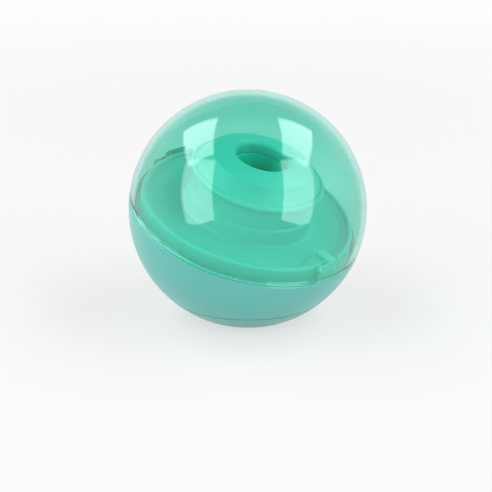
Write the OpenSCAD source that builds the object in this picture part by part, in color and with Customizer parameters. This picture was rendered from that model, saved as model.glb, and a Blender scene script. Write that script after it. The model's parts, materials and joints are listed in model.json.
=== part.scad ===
// Pacifier sterilizer case: a ball that stands on a flat foot. A clear lid is hinged to the
// base at the back along a tilted parting plane. Under the lid, a dished deck carries a
// tower. The pacifier's teat hangs down through the hole in the tower's cap, beside a UV lamp.
// Axes: +Z is up, -Y is the front, +X is to the right for someone who faces the front.
// The origin is the centre of the flat foot. Lengths are in millimetres.

/* [Ball] */
// Diameter of the closed ball
ball_d = 92; // [90:0.5:96]
// Depth of the flat that the foot cuts off the ball
foot_cut = 4.2; // [3.8:0.1:4.6]
// Tilt of the parting plane, low at the front and high at the hinge
seam_tilt = 19.5; // [18:0.5:21]
// Distance of the parting plane below the ball's centre
seam_drop = 3.4; // [3:0.1:3.8]
// Open gap along the parting plane, and along the battery cover's line
line_gap = 0.3; // [0.2:0.05:0.4]
// Width of the bevel that breaks the skin's edges along these lines
edge_bevel = 0.4; // [0.2:0.05:0.5]

/* [Shell walls] */
// Wall of the clear lid
lid_wall = 2; // [1.8:0.1:2.2]
// Wall of the base
base_wall = 2.4; // [2.2:0.1:2.6]
// Wall of the battery cover
cover_wall = 2.2; // [2:0.1:2.4]
// Wall of the deck and its tower
deck_wall = 1.8; // [1.6:0.1:2]
// Wall of the tower's cap
cap_wall = 1.6; // [1.4:0.1:1.8]

/* [Deck] */
// Gap between the lid's inside and the deck's upstand
rim_gap = 2; // [1.8:0.1:2.2]
// Height of the upstand above the parting plane
rim_height = 5.4; // [5:0.1:5.8]
// Width of the slope from the dish's flat floor to the upstand
dish_cove = 2.87; // [2.67:0.05:3.07]
// Depth of the dish below the upstand's top
dish_depth = 1.9; // [1.7:0.1:2.1]
// Depth of the deck's flange below the parting plane
flange_drop = 0.4; // [0.3:0.05:0.5]
// Thickness of the flange that rests on the base's ledge
flange_t = 1.6; // [1.4:0.1:1.8]
// Clearance between the flange and the base's wall
flange_play = 0.25; // [0.2:0.05:0.3]
// Width of the ledge inside the base
ledge_w = 2.6; // [2.4:0.1:2.8]
// Thickness of that ledge
ledge_t = 1.8; // [1.6:0.1:2]
// Half width of the raised arch at the front of the upstand
arch_r = 8; // [7.6:0.1:8.4]
// Rise of the arch above the upstand
arch_rise = 1.3; // [1.1:0.1:1.5]

/* [Tower] */
// Flare of the tower's foot beyond its wall, where it meets the dish
foot_flare = 1.7; // [1.5:0.1:1.9]
// Height of the step above the ball's centre
step_h = 6.3; // [6:0.1:6.6]
// Height of the tower's top above the ball's centre
tower_top = 14.2; // [14:0.1:14.4]
// Height of the ledge that the reflector hangs on
hang_h = 12; // [11.8:0.1:12.2]
// Width of that ledge
hang_w = 1.2; // [1.1:0.1:1.3]
// Depth of the tower's skirt below the ball's centre
skirt_drop = 6; // [5.5:0.1:6.5]

/* [Cap] */
// Overhang of the bead beyond the tower's wall
bead_over = 2.3; // [2.1:0.1:2.5]
// Height of the bead
bead_h = 2.5; // [2.3:0.1:2.7]
// Dark gap between the tower's top and the bead
cap_gap = 0.6; // [0.5:0.05:0.7]
// Rise of the dome above the bead
dome_rise = 7.4; // [7.2:0.1:7.6]
// Radius of the ridge where the dome turns down to the bead
ridge_r = 19; // [18.8:0.1:19.2]
// Diameter of the teat's hole
hole_d = 21; // [20.4:0.1:21.4]
// Rounding of the hole's lip
lip_r = 1.8; // [1.6:0.1:2]
// Depth of the sleeve round the hole, measured from the bead's top
sleeve_up = 1.7; // [1.5:0.1:1.9]
// Clearance of the cap's spigot inside the tower
spigot_play = 0.15; // [0.1:0.05:0.2]

/* [Teat guard] */
// Outer radius of the guard
guard_r = 11; // [10.8:0.1:11.2]
// Wall of the guard
guard_wall = 1.2; // [1.1:0.1:1.3]
// Width of the guard's flange
guard_flange = 1.6; // [1.4:0.1:1.8]
// Number of windows round the guard
guard_windows = 8; // [6:1:9]
// Width of a window
window_w = 5; // [4.6:0.2:5.2]
// Height of the closed collar above the windows
guard_collar = 9; // [8.5:0.5:9.5]
// Height of the closed foot below the windows
guard_foot = 3; // [2.8:0.1:3.4]

/* [Reflector and lamp] */
// Depth of the reflector below the ball's centre
cup_drop = 11; // [10.6:0.1:11.4]
// Sheet thickness of the reflector
cup_t = 0.8; // [0.7:0.05:0.9]
// Clearance between the reflector and the tower's bore
cup_play = 0.3; // [0.25:0.05:0.35]
// Diameter of the lamp's glass tube
lamp_d = 4; // [3.8:0.1:4.2]
// Spacing of the lamp's two legs
leg_gap = 10; // [9.6:0.1:10.4]
// Gap between the lamp's socket and the guard
guard_gap = 1.4; // [1.3:0.1:1.6]
// Gap between the lamp's socket and the reflector's wall
lamp_gap = 1.5; // [1.3:0.1:1.6]
// Height of the lamp's legs above the socket
leg_h = 15; // [14:0.2:15.6]
// Height of the lamp's socket
socket_h = 5; // [4.8:0.1:5.2]

/* [Hinge] */
// Diameter of the hinge pin
pin_d = 1.6; // [1.5:0.05:1.7]
// Radial clearance of the pin in the lid's knuckle
pin_play = 0.05; // [0.03:0.01:0.08]
// Outer radius of the knuckles
knuckle_r = 2.2; // [2.1:0.05:2.3]
// Distance of the hinge axis outside the ball's skin at the parting plane
hinge_out = 0.35; // [0.25:0.05:0.45]
// Width of the lid's middle knuckle
lid_knuckle_w = 11; // [10.5:0.1:11.5]
// Width of each of the base's knuckles
base_knuckle_w = 4.8; // [4.6:0.1:5]
// Gap between neighbouring knuckles
knuckle_gap = 0.3; // [0.25:0.05:0.35]

/* [Latch] */
// Width of the snap tab inside the lid
tab_w = 8.6; // [8.2:0.1:9]
// Thickness of the snap tab
tab_t = 1.1; // [1:0.05:1.2]
// Height of the tab's pivot above the parting plane
tab_pivot_h = 6; // [5.8:0.1:6.2]
// Radius of the tab's pivots
tab_pin_r = 0.5; // [0.45:0.05:0.55]
// Clearance between the tab and its neighbours
tab_play = 0.4; // [0.35:0.05:0.45]
// Radius of the finger scoop at the front of the base
scoop_r = 3; // [2.8:0.1:3.2]
// Depth of the scoop
scoop_depth = 0.9; // [0.8:0.05:1]

/* [Lid switch] */
// Radius of the switch plunger
plunger_r = 1.3; // [1.2:0.05:1.4]
// Travel of the plunger
plunger_travel = 1.2; // [1.1:0.05:1.3]
// Height that the plunger stands out of the arch
plunger_up = 0.8; // [0.7:0.05:0.9]
// Distance of the plunger from the upstand's outer face
plunger_in = 3.2; // [3:0.1:3.4]
// Size of the switch across the front
switch_w = 9; // [8.6:0.1:9.4]
// Size of the switch towards the axis
switch_d = 5.6; // [5.4:0.1:5.8]
// Height of the switch
switch_h = 3.6; // [3.4:0.1:3.8]

/* [Battery compartment] */
// Height of the cover's line above the foot
cover_line = 8.2; // [8:0.1:8.4]
// Radius of the opening that the cover closes
cover_bore_r = 28.6; // [28.4:0.1:28.8]
// Diameter of a cell
cell_d = 10.5; // [10.3:0.1:10.6]
// Length of a cell with its button
cell_len = 44.5; // [44:0.1:44.8]
// Spacing of the cells' axes
cell_pitch = 10.9; // [10.8:0.1:11]
// Height of the cells' axes above the cover's line
cell_up = 4.4; // [4.2:0.1:4.6]
// Room for a contact spring behind each cell
spring_room = 2.5; // [2.4:0.1:2.6]
// Wire diameter of a contact spring
spring_wire = 0.5; // [0.45:0.05:0.5]
// Turns of a contact spring
spring_turns = 2.5; // [2:0.5:2.5]
// Turn that frees the cover
cover_turn = 18; // [16:1:18]

/* [Foot] */
// Radius of the non-slip pad
pad_r = 17.5; // [17:0.1:18]
// Thickness of the pad
pad_t = 1.4; // [1.3:0.05:1.5]
// Height that the pad stands out of the cover
pad_out = 0.5; // [0.4:0.05:0.6]

/* [Circuit board] */
// Width of the board
board_w = 38; // [36:0.5:39]
// Front edge of the board
board_front = -8; // [-9:0.5:-7.5]
// Back edge of the board
board_back = 27; // [26:0.5:27.5]
// Thickness of the board
board_t = 1.6; // [1.4:0.1:1.8]
// Height of the board's posts
board_up = 2.4; // [2.2:0.1:2.6]

/* [Hidden] */
$fn = 96;

// Small amounts: an overlap that fuses two solids, and how far a cut runs past a face
eps = 0.01;
past = 1;

// Colours
base_colour = [0.46, 0.79, 0.73];
deck_colour = [0.27, 0.76, 0.66];
lid_colour = [0.45, 0.88, 0.76, 0.4];

// Ball and parting plane. Heights named *_h are measured from the ball's centre along the
// parting plane's normal.
ball_r = ball_d / 2;
ball_z = ball_r - foot_cut;
lid_in_r = ball_r - lid_wall;
base_in_r = ball_r - base_wall;
cover_in_r = ball_r - cover_wall;
mid_wall_r = ball_r - base_wall / 2;
seam_h = -seam_drop;
seam_r = sqrt(ball_r * ball_r - seam_drop * seam_drop);

// Chamber inside the tower, from the guard out to the tower's wall
guard_in_r = guard_r - guard_wall;
lamp_r = lamp_d / 2;
lamp_bend_r = leg_gap / 2;
socket_wall = 0.9;
socket_r = lamp_r + socket_wall;
lamp_off = guard_r + guard_gap + socket_r;
cup_r = lamp_off + socket_r + lamp_gap + cup_t;
skirt_in_r = cup_r + cup_play;
tower_in_r = skirt_in_r + hang_w;
tower_r = tower_in_r + deck_wall;

// Deck
rim_r = sqrt(lid_in_r * lid_in_r - seam_drop * seam_drop) - rim_gap;
rim_top_h = seam_h + rim_height;
dish_h = rim_top_h - dish_depth;
flange_top_h = seam_h - flange_drop;
ledge_h = flange_top_h - flange_t;
flange_r = sqrt(base_in_r * base_in_r - ledge_h * ledge_h) - flange_play;
ledge_in_r = flange_r - ledge_w;
foot_fillet = 1.5;
// Small slopes and edges of the deck's section
rim_slope = 0.4;
rim_foot = 0.9;
rim_thick = 1.2;
step_w = 0.9;
step_slope = 0.5;
tower_draft = 0.2;
tower_edge = 0.4;
skirt_slope = 0.4;
tower_lean = 10;
tower_foot_r = tower_r + foot_flare;
dish_r = rim_r - deck_wall - rim_slope - dish_cove;

// Cap
cap_r = tower_r + bead_over;
bead_bottom_h = tower_top + cap_gap;
bead_top_h = bead_bottom_h + bead_h;
bead_round = bead_h / 2;
dome_r = cap_r - bead_round;
hole_r = hole_d / 2;
sleeve_bottom_h = bead_top_h + sleeve_up;
sleeve_r = hole_r + cap_wall;
spigot_r = tower_in_r - spigot_play;
cup_flange_t = cup_t;
seat_play = 0.1;
spigot_bottom_h = hang_h + cup_flange_t + seat_play;
dome_power = 2.2;
dome_steps = 10;
bead_wrap = 120;
flank_gap = 0.3;
flank_sag = 0.3;
flank_steps = 6;

// Heights of the reflector, the guard and the lamp's socket
cup_bottom_h = -cup_drop;
cup_corner = 2;
guard_top_h = sleeve_bottom_h - seat_play;
guard_bottom_h = cup_bottom_h + cup_t;
socket_lip = 0.6;
socket_play = 0.1;
socket_top_h = cup_bottom_h + cup_t + socket_h / 2;
socket_bottom_h = socket_top_h - socket_h;
lamp_sunk = 1.8;
lamp_foot_h = socket_top_h - lamp_sunk;
lead_r = 0.45;
lead_play = 0.1;
lead_grip = 1.5;

// Hinge axis
hinge_y = seam_r + hinge_out;
hinge_h = seam_h;
knuckle_reach = lid_knuckle_w / 2 + knuckle_gap + base_knuckle_w;
hinge_relief_r = knuckle_r + knuckle_gap;
arm_h = 5.5;
arm_lean = 0.4;
pin_grip = 0.01;
pin_inset = 0.2;

// Front snap tab and its catch
tab_in_r = rim_r + tab_play;
tab_out_r = tab_in_r + tab_t;
tab_pivot_r = tab_in_r + tab_t / 2;
tab_pivot_z = seam_h + tab_pivot_h;
tab_up = 0.3;
tab_bottom_h = seam_h + line_gap + tab_up;
lug_t = 1.2;
lug_r = 1.1;
lug_gap = 0.2;
tab_pin_len = 0.8;
tab_pin_play = 0.05;
catch_out = 0.25;
catch_half = 0.3;
catch_h = seam_h + 2.6;

// Lid switch
arch_top_h = rim_top_h + arch_rise;
plunger_y = -(rim_r - plunger_in);
plunger_top_h = arch_top_h + plunger_up;
plunger_play = 0.15;
deck_under_h = dish_h - deck_wall;
collar_t = 0.8;
collar_w = 0.8;
collar_r = plunger_r + collar_w;
collar_top_h = deck_under_h - seat_play;
stop_gap = 0.25;
switch_top_h = collar_top_h - collar_t - plunger_travel - stop_gap;
switch_bottom_h = switch_top_h - switch_h;
plunger_sunk = 0.4;
plunger_bottom_h = switch_top_h - plunger_sunk;
well_depth = plunger_travel + 2 * plunger_sunk;
switch_front_y = plunger_y - collar_r;
switch_back_y = switch_front_y + switch_d;
switch_play = 0.2;
rib_t = 1.2;
rib_inset = 1.6;
presser_gap = 0.3;
presser_t = 1.4;
presser_w = 3.2;

// Battery compartment
line_top = cover_line + line_gap;
ring_t = 2;
ring_top = line_top + ring_t;
cells = 3;
cell_r = cell_d / 2;
cell_z = cover_line + cell_up;
cell_play = 0.25;
cell_end_play = 0.05;
bay_r = cell_r + cell_play;
button_r = 1.9;
button_len = 0.8;
plate_t = 0.4;
riser_w = 2.8;
slot_play = 0.15;
strip_w = 7;
spring_wide_r = 3.6;
spring_tip_r = 2;
bay_half = (cell_len + spring_room) / 2 + plate_t;
bay_wall = 1.7;
bay_half_w = cell_pitch * (cells - 1) / 2 + bay_r;
tray_side = 1.2;
tray_roof = 0.9;
tray_half_w = bay_half_w + tray_side;
tray_half_l = bay_half + bay_wall;
tray_plate_z = cell_z + bay_r + tray_roof;
tray_plate_t = 1.6;
tray_top = tray_plate_z + tray_plate_t;
tray_lift = 0.4;
strip_down = 1.6;
strip_low = cell_z - strip_down;
strip_high = tray_plate_z - 0.6;
tray_r = 30.5;
post_r = 2.6;
post_angles = [90, 210, 330];
ear_r = 3.2;
ear_play = 0.45;
post_at_r = sqrt(base_in_r * base_in_r - pow(ball_z - tray_plate_z, 2)) - ear_r - ear_play;
screw_r = 1;
screw_pilot_r = 1.05;
screw_hole_r = 1.3;
screw_head_r = 2.1;
screw_head_t = 1.3;
screw_len = 5.5;
screw_free = 0.5;

// Cover and its hooks: each hook turns from beside its notch to under the ring's edge
hook_gap = 0.3;
hook_wall = 1.4;
hook_reach = 1.1;
hook_r = cover_bore_r - hook_gap;
hook_in_r = hook_r - hook_wall;
hook_tip_r = cover_bore_r + hook_reach;
hook_t = 1.4;
hook_root = 1.5;
hook_bottom = ring_top + hook_gap;
hook_w = 14;
notch_w = hook_w + 2;
hook_angles = [-27, 9, 153, 189];
cover_floor = pad_out + cover_wall;
recess_depth = pad_t - pad_out;
pad_play = 0.15;

// Circuit board
board_z = tray_top + board_up;
board_top = board_z + board_t;
stand_r = 2.2;
post_in = 3.5;
board_posts = [[-board_w / 2 + post_in, board_front + post_in],
    [board_w / 2 - post_in, board_front + post_in], [0, board_back - post_in]];
board_corner_r = 3;
terminal_end = board_front + 1.6;
board_screw_r = 0.85;
board_pilot_r = 0.9;
board_head_r = 1.7;
board_head_t = 1.1;

// --- helpers -------------------------------------------------------------------------

// Puts children in the frame of the parting plane: origin at the ball's centre, z along the
// plane's normal, -y down the slope to the front
module on_seam() translate([0, 0, ball_z]) rotate([seam_tilt, 0, 0]) children();

// Points of a circular arc, for the profiles that are revolved
function arc(centre, r, from, to, steps) =
    [for (i = [0 : steps]) let (a = from + (to - from) * i / steps)
        centre + r * [cos(a), sin(a)]];

// A ring with a rectangular section
module ring(r_in, r_out, z0, z1)
    translate([0, 0, z0]) difference() {
        cylinder(r = r_out, h = z1 - z0);
        translate([0, 0, -past]) cylinder(r = r_in, h = z1 - z0 + 2 * past);
    }

// A sector of such a ring, centred on the angle at
module sector(r_in, r_out, z0, z1, at, width)
    rotate([0, 0, at - width / 2]) rotate_extrude(angle = width)
        translate([r_in, z0]) square([r_out - r_in, z1 - z0]);

// Everything above a height, in the frame that it is called in
module above(h) translate([-ball_d, -ball_d, h]) cube([2 * ball_d, 2 * ball_d, 2 * ball_d]);

// Everything below a height
module below(h) translate([-ball_d, -ball_d, h - 2 * ball_d])
    cube([2 * ball_d, 2 * ball_d, 2 * ball_d]);

// A box given by its two corners
module block(low, high) translate(low) cube(high - low);

// Ring that bevels the ball's skin where the height h cuts it, measured from the ball's
// centre. Side is 1 where the solid lies above the cut and -1 where it lies below.
module bevel_ring(h, side)
    let (r = sqrt(ball_r * ball_r - h * h))
        rotate_extrude() polygon([[r - edge_bevel - past, h - side * past],
            [r + past, h + side * (edge_bevel + past)], [r + past, h - side * past]]);

// A cylinder along x, centred
module rod_x(r, w, y, z) translate([-w / 2, y, z]) rotate([0, 90, 0]) cylinder(r = r, h = w);

// An unbroken round wire along a conical coil on the z axis, lying inside the height h
module coil(r0, r1, wire_r, turns, h, rings = 8, sides = 6) {
    n = round(turns * rings);
    rise = (h - 2 * wire_r) / turns;
    function centre(t) = let (a = 360 * t, r = r0 + (r1 - r0) * t / turns)
        [r * cos(a), r * sin(a), wire_r + rise * t];
    function ring_at(t) = let (a = 360 * t)
        [for (k = [0 : sides - 1]) let (b = 360 * k / sides)
            centre(t) + wire_r * (cos(b) * [cos(a), sin(a), 0] + sin(b) * [0, 0, 1])];
    gaps = [for (i = [0 : n - rings]) norm(centre((i + rings) / rings) - centre(i / rings))
        - 2 * wire_r];
    echo("contact spring, least gap to itself in mm", min(gaps));
    points = [for (i = [0 : n]) each ring_at(i / rings)];
    walls = [for (i = [0 : n - 1], k = [0 : sides - 1]) let (m = (k + 1) % sides,
        a = i * sides + k, b = i * sides + m, c = a + sides, d = b + sides)
        each [[a, c, b], [b, c, d]]];
    start = [for (k = [1 : sides - 2]) [0, k, k + 1]];
    end = [for (k = [1 : sides - 2]) [n * sides, n * sides + k + 1, n * sides + k]];
    polyhedron(points, concat(walls, start, end), convexity = 6);
}

// --- base ----------------------------------------------------------------------------

// Shell of the ball between the cover's line and the parting plane
module base_skin()
    difference() {
        translate([0, 0, ball_z]) sphere(r = ball_r);
        translate([0, 0, ball_z]) sphere(r = base_in_r);
        on_seam() above(seam_h);
        below(line_top);
        on_seam() bevel_ring(seam_h, -1);
    }

// What stands inside the base and grows out of its wall
module base_fittings()
    intersection() {
        translate([0, 0, ball_z]) sphere(r = mid_wall_r);
        union() {
            ring(cover_bore_r, ball_r, line_top, ring_top);
            on_seam() ring(ledge_in_r, ball_r, ledge_h - ledge_t, ledge_h);
            for (a = post_angles) rotate([0, 0, a]) translate([post_at_r, 0, ring_top])
                cylinder(r = post_r, h = tray_plate_z - ring_top);
        }
    }

// A knuckle's arm, from the barrel to the ball's skin, on the side of the sign
module knuckle_arm(w, side)
    rotate([90, 0, 90]) translate([0, 0, -w / 2]) linear_extrude(height = w)
        polygon([[hinge_y + knuckle_r, hinge_h], [hinge_y - arm_lean, hinge_h + side * arm_h],
            [hinge_y - knuckle_r, hinge_h + side * arm_h], [hinge_y - knuckle_r, hinge_h]]);

module base_knuckles()
    for (s = [-1, 1]) translate([s * (knuckle_reach - base_knuckle_w / 2), 0, 0]) {
        rod_x(knuckle_r, base_knuckle_w, hinge_y, hinge_h);
        intersection() {
            knuckle_arm(base_knuckle_w, -1);
            below(hinge_h + eps);
        }
    }

module base_shell() color(base_colour)
    difference() {
        union() {
            base_skin();
            base_fittings();
            on_seam() base_knuckles();
        }
        // opening for the cells, and the notches that the cover's hooks pass
        translate([0, 0, line_top - past]) cylinder(r = cover_bore_r, h = ring_t + 2 * past);
        for (a = hook_angles)
            sector(cover_bore_r - past, hook_tip_r + hook_gap, line_top - past, ring_top + past,
                a + cover_turn, notch_w);
        for (a = post_angles) rotate([0, 0, a])
            translate([post_at_r, 0, tray_plate_z - screw_len]) cylinder(r = screw_pilot_r,
                h = screw_len + past);
        on_seam() {
            // room for the lid's knuckle, the pin's bore and the finger scoop
            rod_x(hinge_relief_r, lid_knuckle_w + 2 * knuckle_gap, hinge_y, hinge_h);
            rod_x(pin_d / 2 + pin_grip, 2 * knuckle_reach + past, hinge_y, hinge_h);
            rod_x(scoop_r, ball_d, -(seam_r + scoop_r - scoop_depth), seam_h);
            // room for the lid switch in the ledge
            block([-switch_w / 2 - rib_t - 2 * switch_play, -ball_r + base_wall,
                    ledge_h - ledge_t - past],
                [switch_w / 2 + rib_t + 2 * switch_play, -ledge_in_r + past, ledge_h + past]);
        }
    }

// --- deck and tower --------------------------------------------------------------------

// Half section of the deck: flange, upstand, dish, tower and skirt
deck_profile = concat(
    [[flange_r, ledge_h], [flange_r, flange_top_h], [rim_r, flange_top_h]],
    arc([rim_r - deck_wall / 2, rim_top_h - deck_wall / 2], deck_wall / 2, 0, 180, 12),
    [[rim_r - deck_wall - rim_slope, dish_h + rim_foot], [dish_r, dish_h]],
    arc([tower_foot_r + foot_fillet, dish_h + foot_fillet], foot_fillet, 270,
        180 + tower_lean, 8),
    [[tower_r + step_w, step_h], [tower_r, step_h + step_slope],
        [tower_r - tower_draft, tower_top - tower_edge],
        [tower_r - tower_draft - tower_edge, tower_top], [tower_in_r, tower_top],
        [tower_in_r, hang_h], [skirt_in_r, hang_h], [skirt_in_r, -skirt_drop],
        [skirt_in_r + deck_wall, -skirt_drop],
        [tower_in_r + skirt_slope, dish_h - deck_wall],
        [rim_r - deck_wall - rim_thick, dish_h - deck_wall],
        [rim_r - deck_wall - rim_slope, ledge_h]]);

// Arch at the front of the upstand, over the switch plunger
module arch_boss()
    intersection() {
        translate([0, 0, arch_top_h - arch_r]) rotate([90, 0, 0]) cylinder(r = arch_r, h = ball_r);
        ring(dish_r, rim_r, dish_h - deck_wall / 2, arch_top_h + past);
    }

// Two ribs under the deck that hold the lid switch between them
module switch_ribs()
    for (s = [-1, 1])
        block([s > 0 ? switch_w / 2 + switch_play : -switch_w / 2 - switch_play - rib_t,
                switch_front_y + rib_inset, switch_bottom_h],
            [s > 0 ? switch_w / 2 + switch_play + rib_t : -switch_w / 2 - switch_play,
                switch_back_y, deck_under_h + eps]);

module deck() color(deck_colour) on_seam()
    difference() {
        union() {
            rotate_extrude() polygon(deck_profile);
            arch_boss();
            switch_ribs();
            // small bead that the lid's snap tab clicks over
            intersection() {
                ring(rim_r - deck_wall / 2, rim_r + catch_out, catch_h - catch_half,
                    catch_h + catch_half);
                block([-tab_w / 2 + 1, -ball_r, catch_h - past],
                    [tab_w / 2 - 1, 0, catch_h + past]);
            }
        }
        translate([0, plunger_y, deck_under_h - past])
            cylinder(r = plunger_r + plunger_play, h = arch_top_h - deck_under_h + 2 * past);
        // pocket for the lid switch and the plunger's collar
        block([-switch_w / 2 - switch_play, switch_front_y - switch_play, -ball_r],
            [switch_w / 2 + switch_play, switch_back_y, deck_under_h]);
    }

// Half section of the cap: bead, hollow flank, dome inside the ridge, sleeve and spigot
function dome_h(r) = bead_top_h + dome_rise * sqrt(1 - pow(r / dome_r, dome_power));
function under_h(r) = dome_h(r * dome_r / (dome_r - cap_wall)) - cap_wall;
lip_top = dome_h(hole_r + lip_r);
ridge = [ridge_r, dome_h(ridge_r)];
flank_end = [dome_r - bead_round * sin(bead_wrap - 90) - flank_gap, bead_top_h + flank_gap / 2];
cap_profile = concat(
    arc([dome_r, bead_bottom_h + bead_round], bead_round, -90, bead_wrap, 12),
    [for (i = [0 : flank_steps - 1]) let (t = i / flank_steps)
        flank_end + (ridge - flank_end) * t - [0, flank_sag * sin(180 * t)]],
    [for (i = [0 : dome_steps]) let (r = ridge_r + (hole_r + lip_r - ridge_r) * i / dome_steps)
        [r, dome_h(r)]],
    arc([hole_r + lip_r, lip_top - lip_r], lip_r, 90, 180, 6),
    [[hole_r, sleeve_bottom_h], [sleeve_r, sleeve_bottom_h]],
    [for (i = [0 : 8]) let (r = sleeve_r + (spigot_r - cap_wall - sleeve_r) * i / 8)
        [r, under_h(r)]],
    [[spigot_r - cap_wall, spigot_bottom_h], [spigot_r, spigot_bottom_h],
        [spigot_r, bead_bottom_h]]);

module tower_cap() color(deck_colour) on_seam()
    rotate_extrude() polygon(cap_profile);

// --- chamber inside the tower ----------------------------------------------------------

module teat_guard() color(deck_colour) on_seam()
    difference() {
        union() {
            ring(guard_in_r, guard_r, guard_bottom_h, guard_top_h);
            ring(guard_in_r, guard_r + guard_flange, guard_top_h - guard_wall, guard_top_h);
            translate([0, 0, guard_bottom_h]) cylinder(r = guard_r, h = guard_wall);
        }
        for (i = [0 : guard_windows - 1]) rotate([0, 0, (i + 0.5) * 360 / guard_windows])
            block([guard_in_r - 2 * past, -window_w / 2, guard_bottom_h + guard_foot],
                [guard_r + past, window_w / 2, guard_top_h - guard_collar]);
    }

// Outline of the lamp's socket, seen along the tower's axis
module socket_outline(grow)
    translate([0, lamp_off]) {
        for (s = [-1, 1]) translate([s * lamp_bend_r, 0]) circle(r = socket_r + grow);
        square([leg_gap, 2 * (socket_r + grow)], center = true);
    }

cup_profile = concat(
    [[0, cup_bottom_h]],
    arc([cup_r - cup_corner, cup_bottom_h + cup_corner], cup_corner, 270, 360, 6),
    [[cup_r, hang_h], [spigot_r, hang_h], [spigot_r, hang_h + cup_flange_t],
        [cup_r - cup_t, hang_h + cup_flange_t]],
    arc([cup_r - cup_corner, cup_bottom_h + cup_corner], cup_corner - cup_t, 360, 270, 6),
    [[0, cup_bottom_h + cup_t]]);

module reflector_cup() color("silver") on_seam()
    difference() {
        rotate_extrude() polygon(cup_profile);
        translate([0, 0, cup_bottom_h - past]) linear_extrude(height = cup_t + 2 * past)
            socket_outline(socket_play);
    }

module uv_lamp() color([0.8, 0.85, 1, 0.6]) on_seam() translate([0, lamp_off, lamp_foot_h]) {
    for (s = [-1, 1]) translate([s * lamp_bend_r, 0, 0]) cylinder(r = lamp_r, h = leg_h);
    translate([0, 0, leg_h]) rotate([90, 0, 0]) rotate_extrude(angle = 180)
        translate([lamp_bend_r, 0]) circle(r = lamp_r);
}

module lamp_socket() color("ivory")
    difference() {
        on_seam() difference() {
            union() {
                translate([0, 0, socket_bottom_h]) linear_extrude(height = socket_h)
                    socket_outline(0);
                // lip that bears on the reflector from below
                translate([0, 0, socket_bottom_h])
                    linear_extrude(height = cup_bottom_h - socket_bottom_h)
                        socket_outline(socket_lip);
            }
            for (s = [-1, 1]) translate([s * lamp_bend_r, lamp_off, lamp_foot_h])
                cylinder(r = lamp_r, h = socket_h);
        }
        lead_bores(lead_r + lead_play);
    }

// Foot point of the socket in the upright frame, where the leads enter
lead_y = lamp_off * cos(seam_tilt) - socket_bottom_h * sin(seam_tilt);
lead_top = ball_z + lamp_off * sin(seam_tilt) + socket_bottom_h * cos(seam_tilt) + lead_grip;

module lead_bores(r)
    for (s = [-1, 1]) translate([s * lamp_bend_r, lead_y, board_top])
        cylinder(r = r, h = lead_top - board_top);

module lamp_leads() color("white") lead_bores(lead_r);

// --- electronics -----------------------------------------------------------------------

module circuit_board() color("darkgreen")
    difference() {
        translate([0, 0, board_z]) linear_extrude(height = board_t) difference() {
            translate([-board_w / 2, board_front]) square([board_w, board_back - board_front]);
            for (s = [-1, 1]) translate([s * board_w / 2, board_back]) rotate(45)
                square(2 * board_corner_r, center = true);
        }
        for (p = board_posts) translate([p.x, p.y, board_z - past])
            cylinder(r = screw_hole_r, h = board_t + 2 * past);
    }

// Wound transformer of the lamp's driver: bobbin inside a core, measured in from the board's
// left and back edges
trafo_in = [6.5, 15];
trafo_core = [11, 9, 6.4];
core_t = 1.4;
winding_r = 3.6;
module transformer() color("dimgray")
    translate([trafo_in.x - board_w / 2, board_back - trafo_in.y, board_top]) {
        difference() {
            translate([-trafo_core.x / 2, -trafo_core.y / 2, 0]) cube(trafo_core);
            translate([core_t - trafo_core.x / 2, -trafo_core.y, core_t])
                cube([trafo_core.x - 2 * core_t, 2 * trafo_core.y, trafo_core.z - 2 * core_t]);
        }
        translate([0, 0, core_t - eps])
            cylinder(r = winding_r, h = trafo_core.z - 2 * (core_t - eps));
    }

// Two electrolytic cans: distances in from the board's right and back edges, radius, height
cans = [[7, 8, 3.1, 7], [5, 16.5, 2.5, 5.5]];
module capacitors() color("midnightblue")
    for (c = cans) translate([board_w / 2 - c[0], board_back - c[1], board_top])
        cylinder(r = c[2], h = c[3]);

// Chip: place, size, height above the board, and the pitch and size of its legs
chip_at = [3, 2];
chip_size = [8, 5, 1.3];
chip_up = 0.2;
leg_pitch = 2;
leg_size = [0.6, 1.2, 0.7];
module controller_chip() color("black") translate([chip_at.x, chip_at.y, board_top]) {
    translate([-chip_size.x / 2, -chip_size.y / 2, chip_up]) cube(chip_size);
    for (s = [-1, 1], i = [-1.5 : 1.5])
        translate([i * leg_pitch - leg_size.x / 2, s * chip_size.y / 2 - leg_size.y / 2, 0])
            cube(leg_size);
}

module board_screws() color("silver")
    for (p = board_posts) translate([p.x, p.y, board_top]) {
        cylinder(r = board_head_r, h = board_head_t);
        translate([0, 0, -board_t - board_up]) cylinder(r = board_screw_r,
            h = board_t + board_up + eps);
    }

module lid_switch() color("black") on_seam()
    difference() {
        block([-switch_w / 2, switch_front_y, switch_bottom_h],
            [switch_w / 2, switch_back_y, switch_top_h]);
        translate([0, plunger_y, switch_top_h - well_depth])
            cylinder(r = plunger_r + 2 * plunger_play, h = well_depth + past);
    }

// Two leads that run straight back from the lid switch to the board's front edge
switch_lead_gap = 4;
switch_lead_z = board_z + board_t / 2;
switch_lead_from = switch_back_y * cos(seam_tilt)
    - (switch_lead_z - ball_z - switch_back_y * sin(seam_tilt)) / cos(seam_tilt)
    * sin(seam_tilt) + lead_r * tan(seam_tilt);
module switch_leads() color("white")
    for (s = [-1, 1]) translate([s * switch_lead_gap / 2, switch_lead_from, switch_lead_z])
        rotate([-90, 0, 0]) cylinder(r = lead_r, h = board_front - switch_lead_from);

// --- battery compartment -----------------------------------------------------------------

function cell_x(i) = (i - (cells - 1) / 2) * cell_pitch;
// +1 where the button points to the back
function cell_way(i) = i % 2 == 0 ? 1 : -1;

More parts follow.
